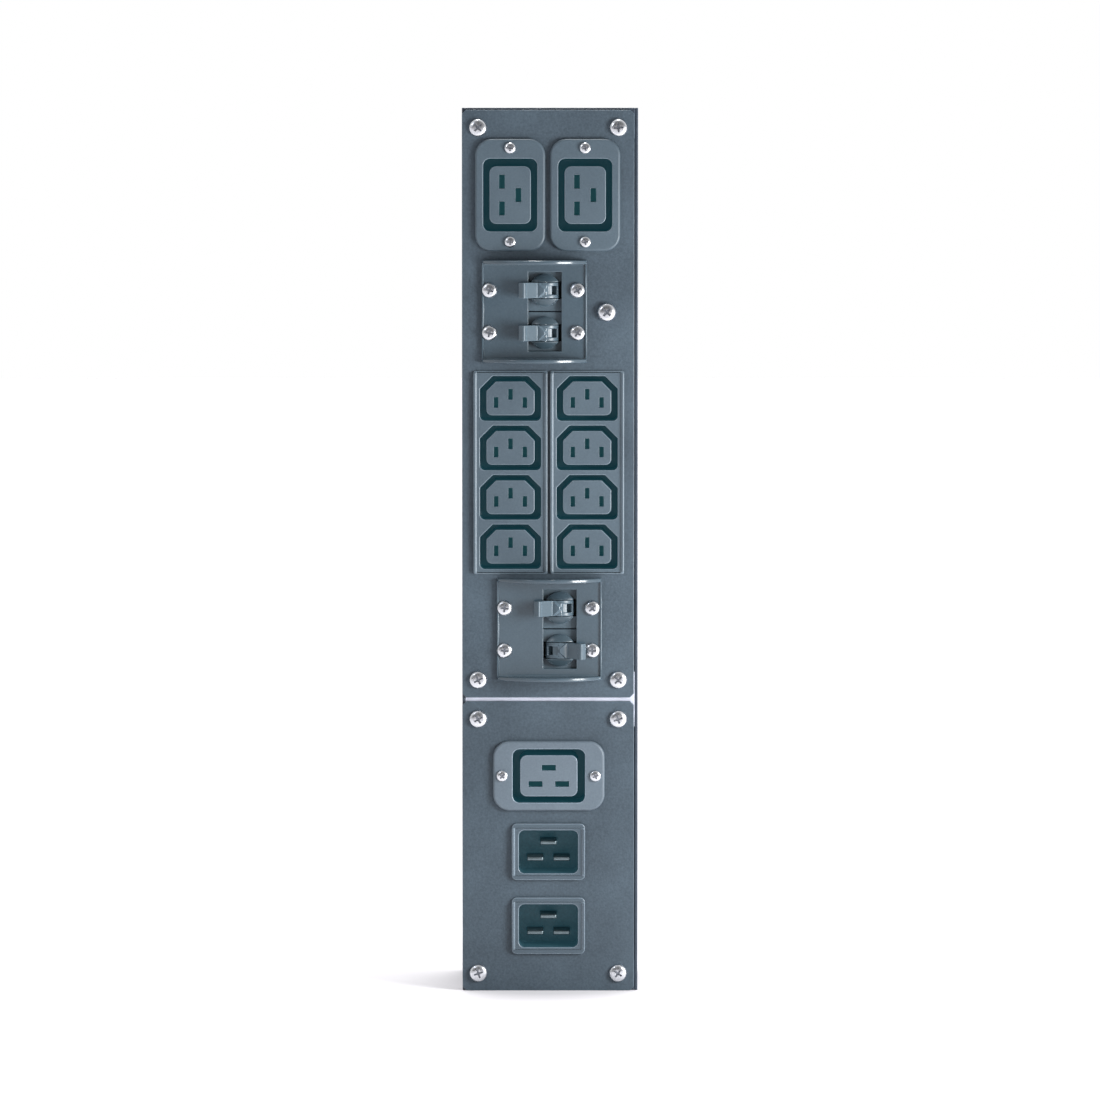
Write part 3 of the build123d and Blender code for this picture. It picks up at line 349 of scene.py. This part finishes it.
def metal(name, dark, light, cloud_mm, roughness, spread, relief_mm=0.002, glow=0.0):
    """A bare or plated metal with a cloudy, lightly marked surface."""
    material = bpy.data.materials.new(name)
    material.use_nodes = True
    tree = material.node_tree
    tree.nodes.clear()
    place = add(tree, "ShaderNodeTexCoord").outputs["Object"]
    cloud = add(tree, "ShaderNodeTexNoise", {"Vector": place, "Scale": per_mm(cloud_mm),
                                             "Detail": 4.0})
    drawn = add(tree, "ShaderNodeMapping", {"Vector": place, "Scale": (1.0, 1.0, mark_stretch)})
    marks = add(tree, "ShaderNodeTexNoise", {"Vector": drawn.outputs[0], "Scale": per_mm(mark_mm),
                                             "Detail": 2.0})
    shade = add(tree, "ShaderNodeMix", {0: cloud.outputs["Fac"], 6: linear(dark), 7: linear(light)},
                data_type="RGBA")
    dull = add(tree, "ShaderNodeMapRange", {"Value": cloud.outputs["Fac"], "From Min": cloud_low,
                                            "From Max": cloud_high, "To Min": roughness,
                                            "To Max": roughness + spread})
    bump = add(tree, "ShaderNodeBump", {"Height": marks.outputs["Fac"], "Distance": relief_mm * MM})
    skin = add(tree, "ShaderNodeBsdfPrincipled", {
        "Base Color": shade.outputs[2], "Metallic": 1.0, "Roughness": dull.outputs["Result"],
        "Emission Color": linear(dark), "Emission Strength": glow,
        "Normal": bump.outputs["Normal"]})
    add(tree, "ShaderNodeOutputMaterial", {"Surface": skin.outputs["BSDF"]})
    return material


nickel_plate = metal("bright_nickel_plate", "#c9ccd1", "#dddfe3", 2.5, 0.22, 0.08, 0.0002)
# The recess finish is darker nickel: painted shade in the cross.
painted_recess_shade = metal("shaded_nickel_plate", "#8d929a", "#a0a5ad", 2.5, 0.36, 0.10, 0.0002)
zinc_plate = metal("clear_zinc_plate", "#c6cbda", "#dfe3ef", 4.0, 0.48, 0.14, 0.004)
# The pins are darker and bluer than bare nickel: painted shade of the inlet well.
pin_plate = metal("nickel_plated_brass", "#6a777c", "#7a888d", 3.0, 0.34, 0.12)
# The slot brass is darkened to the wells' teal as painted shade, with a painted glow.
brass_strip = metal("tarnished_brass", "#2c5a62", "#587270", 5.0, 0.50, 0.15, glow=0.40)
copper_winding = metal("enamelled_copper", "#a7502c", "#c76a3e", 1.5, 0.30, 0.15)
print("metals:", nickel_plate.name, zinc_plate.name, brass_strip.name)

# %% [markdown]
# ## A finish for every piece
# The record says which material slot each piece belongs to, so one table from slot to finish
# dresses the whole model, the hidden pieces too. Picking each piece by hand would miss some.

# %% Dress the pieces
finish_of_slot = {
    "chassis_powder_coat": navy_coat, "panel_powder_coat": slate_coat, "zinc_plate": zinc_plate,
    "bright_screw": nickel_plate, "board": board_body, "outlet_plastic": outlet_body,
    "cover_plastic": cover_body, "inlet_plastic": inlet_body, "guard_plastic": guard_body,
    "breaker_plastic": case_body, "lever_plastic": toggle_body, "sleeve_plastic": sleeve_body,
    "brass": brass_strip, "plated_pin": pin_plate, "copper": copper_winding,
    "line_insulation": line_vinyl, "neutral_insulation": neutral_vinyl,
    "earth_insulation": earth_vinyl}

for name, node in nodes.items():
    finish = finish_of_slot[slot_of[name]]
    if not node.material_slots:
        node.data.materials.append(finish)
    for holder in node.material_slots:
        holder.material = finish
print("dressed", len(nodes), "pieces with", len(set(finish_of_slot.values())), "finishes")


# %% [markdown]
# ## Broken edges
# No made thing has a perfectly sharp edge. Laser-cut steel rounds over under its coat, and a mould
# leaves a small radius. That radius is what catches the lamp and draws each outline as a thin
# bright line. A shading trick can fake it, but the mesh itself would stay sharp, so each visible
# piece is copied, its loose triangles are merged, and a Bevel modifier rolls its edges. The bevel
# gives its own faces the second finish of the piece, the polished edge, whose lighter colour is
# partly a painted highlight. Where edges are too short for the radius they stay sharp, because the
# modifier would throw spikes from them.

# %% Helper that makes flat faces whole
# A flat face with a hole in it can't be one face in a mesh, and the slanted lines that the loose
# triangles leave across it would catch the bevel. So a level cut goes through each hole first.
merge_distance = 0.002 * MM
cut_distance = 0.0001 * MM
flat_angle = math.radians(0.6)
sharp_angle = math.radians(34.0)
hole_share = 0.35        # a cut stays in this share of a hole, either side of its middle
cut_tries = 6            # places tried on each side, to stay clear of the corners that exist
level_face = 0.7         # a face whose normal rises more than this is cut across, not level


def flat_region(seed):
    """The faces that lie in one plane with this one and join up with it."""
    region, front = {seed}, [seed]
    while front:
        face = front.pop()
        for other in {f for e in face.edges for f in e.link_faces} - region:
            if other.normal.angle(face.normal, math.pi) < flat_angle:
                region.add(other)
                front.append(other)
    return region


def flat_regions(shape):
    """Every flat region of a shape, each with the face that it was found from."""
    seen = set()
    for seed in sorted(shape.faces, key=lambda f: f.index):
        if seed not in seen:
            region = flat_region(seed)
            seen |= region
            yield seed, region


def rims(region):
    """The closed outlines of a flat region, each as the set of its corners."""
    outline = [e for f in region for e in f.edges if any(o not in region for o in e.link_faces)]
    near = {}
    for e in outline:
        for corner in e.verts:
            near.setdefault(corner, set()).add(e.other_vert(corner))
    loops = []
    while near:
        loop, front = set(), [next(iter(near))]
        while front:
            corner = front.pop()
            if corner in near:
                front += near.pop(corner)
                loop.add(corner)
        loops.append(loop)
    return loops


def hole_cuts(shape):
    """Where to cut so that each hole in each flat face is crossed: pairs of axis and place."""
    cuts = []
    levels = {axis: sorted({round(v.co[axis], 5) for v in shape.verts}) for axis in (0, 2)}
    for seed, region in flat_regions(shape):
        axis = 0 if abs(seed.normal.z) > level_face else 2
        spans = sorted(((min(v.co[axis] for v in loop), max(v.co[axis] for v in loop))
                        for loop in rims(region)), key=lambda s: (s[0] - s[1], s))
        for low, high in spans[1:]:
            middle, reach = (low + high) / 2, (high - low) * hole_share
            if not any(a == axis and abs(place - middle) < reach for a, place in cuts):
                tries = [middle + reach * k / cut_tries for k in range(-cut_tries, cut_tries + 1)]
                cuts.append((axis, max(tries, key=lambda t: min(abs(t - c) for c in levels[axis]))))
    return cuts


def merged_copy(name):
    """A CAD piece's mesh with its triangles joined and its flat faces made whole."""
    mesh = nodes[name].data.copy()
    if "custom_normal" in mesh.attributes:
        mesh.attributes.remove(mesh.attributes["custom_normal"])
    shape = bmesh.new()
    shape.from_mesh(mesh)
    bmesh.ops.remove_doubles(shape, verts=shape.verts, dist=merge_distance)
    shape.normal_update()
    for axis, place in hole_cuts(shape):
        normal = Vector([float(i == axis) for i in range(3)])
        cut = bmesh.ops.bisect_plane(shape, geom=[*shape.verts, *shape.edges, *shape.faces],
                                     dist=cut_distance, plane_co=normal * place, plane_no=normal)
        for part in cut["geom_cut"]:
            if isinstance(part, bmesh.types.BMEdge):
                part.seam = True
    bmesh.ops.dissolve_limit(shape, angle_limit=flat_angle, verts=shape.verts, edges=shape.edges,
                             delimit={"SEAM"})
    shape.to_mesh(mesh)
    shape.free()
    return mesh


print("the panel needs", len(merged_copy("upper_panel").polygons), "faces once it is cut")


# %% Helpers that roll the edges of a copy
slot_share = 0.25        # the share of the edge radius that the rim of a small slot gets
level_weight = 90        # how strongly large faces keep their shading flat beside rolled edges
edge_place, deep_place = 1, 2        # where a piece's list of finishes has these two


def adopt(piece, name):
    """Let a finished piece stand for a CAD piece, on the same body and slot."""
    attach(piece, body_of[name])
    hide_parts(name)
    return piece


def applied(piece):
    """Turn a piece's modifiers into plain mesh."""
    ready = piece.evaluated_get(bpy.context.evaluated_depsgraph_get())
    mesh = bpy.data.meshes.new_from_object(ready)
    piece.modifiers.clear()
    piece.data = mesh
    return piece


def hole_rims(shape, most_mm):
    """The corners round every hole in a flat face that is no longer than this."""
    corners = set()
    for _, region in flat_regions(shape):
        spans = [(max(max(v.co[i] for v in loop) - min(v.co[i] for v in loop) for i in range(3)),
                  loop) for loop in rims(region)]
        for span, loop in sorted(spans, key=lambda s: -s[0])[1:]:
            if span < most_mm * MM:
                corners |= loop
    return corners


def roll_edges(name, radius_mm, finishes, steps=2, least_mm=0.0, slot_mm=0.0, deep_mm=None):
    """Copy a CAD piece and round its sharp edges by a small radius.

    The finishes are for the faces, for the edges, and for what lies deeper than deep_mm behind
    the piece's front. Edges shorter than least_mm stay as they are, and the edges of holes
    shorter than slot_mm get only a trace of the radius.
    """
    mesh = merged_copy(name)
    mesh.materials.clear()
    for finish in finishes:
        mesh.materials.append(finish)
    mesh.polygons.foreach_set("material_index", [0] * len(mesh.polygons))
    shape = bmesh.new()
    shape.from_mesh(mesh)
    weight = shape.edges.layers.float.new("bevel_weight_edge")
    slots = hole_rims(shape, slot_mm) if slot_mm else set()
    for edge in shape.edges:
        if edge.calc_face_angle(0.0) > sharp_angle and edge.calc_length() >= least_mm * MM:
            edge[weight] = slot_share if slots.issuperset(edge.verts) else 1.0
    shape.to_mesh(mesh)
    shape.free()
    mesh.shade_smooth()
    piece = bpy.data.objects.new(name + "_finished", mesh)
    scene.collection.objects.link(piece)
    bevel = piece.modifiers.new("rolled_edge", "BEVEL")
    bevel.width = radius_mm * MM
    bevel.segments = steps
    bevel.limit_method = "WEIGHT"
    bevel.use_clamp_overlap = False
    bevel.material = edge_place
    level = piece.modifiers.new("level_faces", "WEIGHTED_NORMAL")
    level.mode = "FACE_AREA"
    level.weight = level_weight
    adopt(applied(piece), name)
    if deep_mm is not None:
        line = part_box(name)[0].y + deep_mm * MM
        for face in piece.data.polygons:
            if face.center.y > line:
                face.material_index = deep_place
    return piece


print("edges sharper than", round(math.degrees(sharp_angle)), "degrees are rolled")

# %% [markdown]
# ## Enclosure
# The chassis and its end caps are folded from 1.5 mm steel and coated almost black. The two front
# panels are laser cut and coated slate. Their edges get the radius that the coat leaves. Planes
# with a Solidify modifier would make such sheets too, but rolled copies keep the exact cut-outs.
# The zinc-plated bar behind the seam is the bright line between the panels.

# %% Chassis, end caps and panels
sheet_radius_mm = 0.3
bar_radius_mm = 0.2
for name in ("chassis_channel", "upper_end_cap", "lower_end_cap"):
    roll_edges(name, sheet_radius_mm, (navy_coat, navy_edge))
for name in ("upper_panel", "lower_panel"):
    roll_edges(name, sheet_radius_mm, (slate_coat, slate_edge))
roll_edges("panel_cross_bar", bar_radius_mm, (zinc_plate, zinc_plate))

# %% [markdown]
# ## Outlets and inlets
# Each outlet is one deep moulding: a flange, a ring-shaped well, and a core with three slots. The
# radius of the mould goes round the flange, the well and the core, and catches the lamp there.
# The slots get only a trace of it, as the full radius would widen them. The faces deep in a well
# or an inlet get a finish of their own, darker and bluer than the body: painted shade, with a faint
# painted glow. They could be a separate piece instead, but the real moulding is one. The lowest
# outlet is a shade paler than the others.

# %% Outlets
mould_radius_mm = 0.4
well_depth_mm = 3.0      # what lies deeper than this is inside a well
slot_length_mm = 8.0     # a hole shorter than this is a slot
for name in ("c19_left_housing", "c19_right_housing", "c13_left_housing", "c13_right_housing"):
    piece = roll_edges(name, mould_radius_mm, (outlet_body, outlet_edge, well_shade_and_glow),
                       slot_mm=slot_length_mm, deep_mm=well_depth_mm)
    print(piece.name, len(piece.data.polygons), "faces")
roll_edges("c19_lower_housing", mould_radius_mm, (pale_body, pale_edge, well_shade_and_glow),
           slot_mm=slot_length_mm, deep_mm=well_depth_mm)

# %% Inlets and their pins
pin_radius_mm = 0.25
for side in ("upper", "lower"):
    roll_edges("inlet_%s_housing" % side, mould_radius_mm, (inlet_body, inlet_edge, inlet_shade_and_glow),
               deep_mm=well_depth_mm)
    roll_edges("inlet_%s_pins" % side, pin_radius_mm, (pin_plate, pin_plate))
print("two inlets with three pins each")

# %% [markdown]
# ## Breakers, toggles and guards
# A toggle pokes out through a window between two half-moon walls that stop it being knocked. Each
# toggle rides on its own body, so that it can be thrown: joined to its breaker it would look the
# same, but only at rest. The boss round it is a shade darker than the breaker's case. The guards
# are the shiniest plastic here.

# %% Breakers
boss_height_mm = 4.0     # what stands further out than this is the boss
breaker_radius_mm = 0.3
shortest_edge_mm = 1.0   # shorter ones on the guards stay sharp
for number in (1, 2, 3, 4):
    roll_edges("breaker_%d_case" % number, breaker_radius_mm, (boss_body, case_edge, case_body),
               deep_mm=boss_height_mm)
    roll_edges("breaker_%d_lever" % number, breaker_radius_mm, (toggle_body, toggle_edge), steps=3)
for side in ("upper", "lower"):
    roll_edges(side + "_guard", breaker_radius_mm, (guard_body, guard_edge),
               least_mm=shortest_edge_mm)


# %% [markdown]
# ## Screws
# Twenty-three pan-head screws show on the front. They are all one shape in four sizes, so they
# are one Geometry Nodes tree: a cone whose sides are swollen into a domed head, a cross recess
# cut out of it, a shank below, and one copy on each place. The cut leaves its own faces, and they
# keep the darker finish, painted shade. The places are the middles of the screws in the engineering
# model. Every copy is turned by a random amount, as a row of tightened screws is. Copying one
# modelled screw by hand would do as well, but every size would then have to be modelled again.

# %% The parts of a screw
head_fullness = 0.62     # below 1 the dome is fuller than a quarter circle
head_sides = 40
head_rings = 12
point_sides = 16
point_depth = 1.4        # how deep the recess's point goes, for a blade of depth 1
shank_sides = 24
overlap = 0.2 * MM       # how far the shank reaches up into the head


def domed_head(tree, diameter, height):
    """A cone of height 1 and radius 1, swollen to the profile of a pan head."""
    cone = add(tree, "GeometryNodeMeshCone", {
        "Vertices": head_sides, "Side Segments": head_rings, "Radius Top": 0.0,
        "Radius Bottom": 1.0, "Depth": 1.0})
    xyz = add(tree, "ShaderNodeSeparateXYZ", {0: add(tree, "GeometryNodeInputPosition").outputs[0]})
    rise = xyz.outputs["Z"]
    turn = add(tree, "ShaderNodeMath", {0: rise, 1: math.pi / 2}, operation="MULTIPLY").outputs[0]
    cosine = add(tree, "ShaderNodeMath", {0: turn}, operation="COSINE").outputs[0]
    sine = add(tree, "ShaderNodeMath", {0: turn}, operation="SINE").outputs[0]
    reach = add(tree, "ShaderNodeMath", {0: cosine, 1: head_fullness}, operation="POWER").outputs[0]
    lift = add(tree, "ShaderNodeMath", {0: sine, 1: head_fullness}, operation="POWER").outputs[0]
    left = add(tree, "ShaderNodeMath", {0: 1.0, 1: rise}, operation="SUBTRACT").outputs[0]
    swell = add(tree, "ShaderNodeMath", {0: reach, 1: left}, operation="DIVIDE").outputs[0]
    wide = add(tree, "ShaderNodeMath", {0: swell, 1: diameter}, operation="MULTIPLY").outputs[0]
    radius = add(tree, "ShaderNodeMath", {0: wide, 1: 0.5}, operation="MULTIPLY").outputs[0]
    sizes = {"X": (xyz.outputs["X"], radius), "Y": (xyz.outputs["Y"], radius), "Z": (lift, height)}
    place = add(tree, "ShaderNodeCombineXYZ", {
        way: add(tree, "ShaderNodeMath", {0: first, 1: second}, operation="MULTIPLY").outputs[0]
        for way, (first, second) in sizes.items()})
    return add(tree, "GeometryNodeSetPosition", {"Geometry": cone.outputs["Mesh"],
                                                 "Position": place.outputs[0]}).outputs[0]


def cross_recess(tree, width, reach, depth, height):
    """Two crossed blades and a point, which the head is cut by."""
    deep = add(tree, "ShaderNodeMath", {0: depth, 1: 2.0}, operation="MULTIPLY").outputs[0]
    blades = []
    for sizes in ({"X": width, "Y": reach}, {"X": reach, "Y": width}):
        size = add(tree, "ShaderNodeCombineXYZ", {**sizes, "Z": deep})
        blades.append(add(tree, "GeometryNodeMeshCube", {"Size": size.outputs[0]}).outputs["Mesh"])
    long, low = [add(tree, "ShaderNodeMath", {0: depth, 1: share}, operation="MULTIPLY").outputs[0]
                 for share in (point_depth, -point_depth)]
    point = add(tree, "GeometryNodeMeshCone", {"Vertices": point_sides, "Radius Bottom": 0.0,
                                               "Radius Top": width, "Depth": long})
    down = add(tree, "ShaderNodeCombineXYZ", {"Z": low})
    tip = add(tree, "GeometryNodeTransform", {"Geometry": point.outputs["Mesh"],
                                              "Translation": down.outputs[0]})
    both = add(tree, "GeometryNodeMeshBoolean", {"Mesh 2": [*blades, tip.outputs[0]]},
               operation="UNION", solver="EXACT")
    up = add(tree, "ShaderNodeCombineXYZ", {"Z": height})
    return add(tree, "GeometryNodeTransform", {"Geometry": both.outputs["Mesh"],
                                               "Translation": up.outputs[0]}).outputs[0]


def shank(tree, diameter, length):
    """A plain bar below the head that reaches a little way up into it."""
    radius = add(tree, "ShaderNodeMath", {0: diameter, 1: 0.5}, operation="MULTIPLY").outputs[0]
    bar = add(tree, "GeometryNodeMeshCylinder", {"Vertices": shank_sides, "Radius": radius,
                                                 "Depth": length})
    half = add(tree, "ShaderNodeMath", {0: length, 1: -0.5}, operation="MULTIPLY").outputs[0]
    down = add(tree, "ShaderNodeMath", {0: half, 1: overlap}, operation="ADD")
    shift = add(tree, "ShaderNodeCombineXYZ", {"Z": down.outputs[0]})
    return add(tree, "GeometryNodeTransform", {"Geometry": bar.outputs["Mesh"],
                                               "Translation": shift.outputs[0]}).outputs[0]


print("a head is a cone of", head_sides, "sides and", head_rings, "rings")


# %% The screw tree
def screw_tree():
    """One pan-head screw on each given point, its head to the front."""
    tree = bpy.data.node_groups.new("pan_head_screws", "GeometryNodeTree")
    tree.is_modifier = True
    sockets = tree.interface
    sockets.new_socket("Places", in_out="INPUT", socket_type="NodeSocketGeometry")
    for label in ("Head Diameter", "Head Height", "Shank Diameter", "Shank Length", "Recess Width",
                  "Recess Reach", "Recess Depth"):
        sockets.new_socket(label, in_out="INPUT", socket_type="NodeSocketFloat")
    sockets.new_socket("Seed", in_out="INPUT", socket_type="NodeSocketInt")
    sockets.new_socket("Finish", in_out="INPUT", socket_type="NodeSocketMaterial")
    sockets.new_socket("Recess Finish", in_out="INPUT", socket_type="NodeSocketMaterial")
    sockets.new_socket("Screws", in_out="OUTPUT", socket_type="NodeSocketGeometry")
    given = add(tree, "NodeGroupInput").outputs
    head = domed_head(tree, given["Head Diameter"], given["Head Height"])
    recess = cross_recess(tree, given["Recess Width"], given["Recess Reach"], given["Recess Depth"],
                          given["Head Height"])
    shaded = add(tree, "GeometryNodeSetMaterial", {"Geometry": recess,
                                                   "Material": given["Recess Finish"]})
    stem = shank(tree, given["Shank Diameter"], given["Shank Length"])
    whole = add(tree, "GeometryNodeMeshBoolean", {"Mesh 2": [head, stem]},
                operation="UNION", solver="EXACT")
    screw = add(tree, "GeometryNodeMeshBoolean", {"Mesh 1": whole.outputs["Mesh"],
                                                  "Mesh 2": [shaded.outputs[0]]},
                operation="DIFFERENCE", solver="EXACT")
    spin = add(tree, "FunctionNodeRandomValue", {2: 0.0, 3: math.pi, "Seed": given["Seed"]},
               data_type="FLOAT")
    face_front = add(tree, "ShaderNodeCombineXYZ", {"X": math.pi / 2, "Y": spin.outputs[1]})
    copies = add(tree, "GeometryNodeInstanceOnPoints", {
        "Points": given["Places"], "Instance": screw.outputs["Mesh"],
        "Rotation": face_front.outputs[0]})
    real = add(tree, "GeometryNodeRealizeInstances", {"Geometry": copies.outputs[0]})
    in_recess = add(tree, "GeometryNodeMaterialSelection", {"Material": given["Recess Finish"]})
    outside = add(tree, "FunctionNodeBooleanMath", {0: in_recess.outputs[0]}, operation="NOT")
    coated = add(tree, "GeometryNodeSetMaterial", {
        "Geometry": real.outputs[0], "Selection": outside.outputs[0], "Material": given["Finish"]})
    add(tree, "NodeGroupOutput", {"Screws": coated.outputs[0]})
    return tree


pan_head = screw_tree()
print(pan_head.name, "has", len(pan_head.nodes), "nodes")


# %% Helper that finds each screw's place
def islands(name):
    """The lowest and highest corner of each separate solid of a CAD piece."""
    shape = bmesh.new()
    shape.from_mesh(nodes[name].data)
    bmesh.ops.remove_doubles(shape, verts=shape.verts, dist=merge_distance)
    left, boxes = set(shape.verts), []
    while left:
        found, edge = set(), [left.pop()]
        while edge:
            corner = edge.pop()
            found.add(corner)
            near = {e.other_vert(corner) for e in corner.link_edges} & left
            left -= near
            edge += near
        boxes.append([Vector([pick(v.co[i] for v in found) for i in range(3)])
                      for pick in (min, max)])
    shape.free()
    return sorted(boxes, key=lambda b: (round(b[0].z, 4), round(b[0].x, 4)))


print(len(islands("panel_screws")), "panel screws")


# %% Place the screws
recess_reach = 0.52      # the cross is this much of the head wide
recess_depth = 0.6       # and this much of the head deep


def fit_screws(name, head_height_mm, shank_mm, recess_mm, seed):
    """Put a nodes-made screw in the place of each screw of a CAD piece."""
    boxes = islands(name)
    low, high = boxes[0]
    points = bpy.data.meshes.new(name + "_places")
    points.from_pydata([((a.x + b.x) / 2, a.y + head_height_mm * MM, (a.z + b.z) / 2)
                        for a, b in boxes], [], [])
    maker = bpy.data.objects.new(name + "_maker", points)
    scene.collection.objects.link(maker)
    modifier = maker.modifiers.new("screws", "NODES")
    modifier.node_group = pan_head
    head = high.x - low.x
    wanted = {"Head Diameter": head, "Head Height": head_height_mm * MM,
              "Shank Diameter": shank_mm * MM,
              "Shank Length": high.y - low.y - head_height_mm * MM,
              "Recess Width": recess_mm * MM, "Recess Reach": head * recess_reach,
              "Recess Depth": head_height_mm * MM * recess_depth, "Seed": seed,
              "Finish": nickel_plate, "Recess Finish": painted_recess_shade}
    for socket in pan_head.interface.items_tree:
        if socket.name in wanted:
            modifier[socket.identifier] = wanted[socket.name]
    piece = applied(maker)
    piece.name = name + "_finished"
    piece.data.shade_smooth()
    piece.data.set_sharp_from_angle(angle=sharp_angle)
    adopt(piece, name)
    print(piece.name, len(boxes), "screws,", len(piece.data.polygons), "faces")


fit_screws("panel_screws", head_height_mm=2.6, shank_mm=3.9, recess_mm=0.9, seed=3)
fit_screws("guard_screws", head_height_mm=2.4, shank_mm=3.5, recess_mm=0.85, seed=5)
fit_screws("c19_flange_screws", head_height_mm=1.7, shank_mm=2.9, recess_mm=0.7, seed=8)
fit_screws("earth_screw", head_height_mm=3.0, shank_mm=4.9, recess_mm=1.0, seed=13)

# %% [markdown]
# ## Measure and finish
# The looks must not change the size of the part, so the box of the engineering model is printed.

# %% Sizes
print("CAD ", [round(c / MM, 1) for c in cad_high - cad_low])
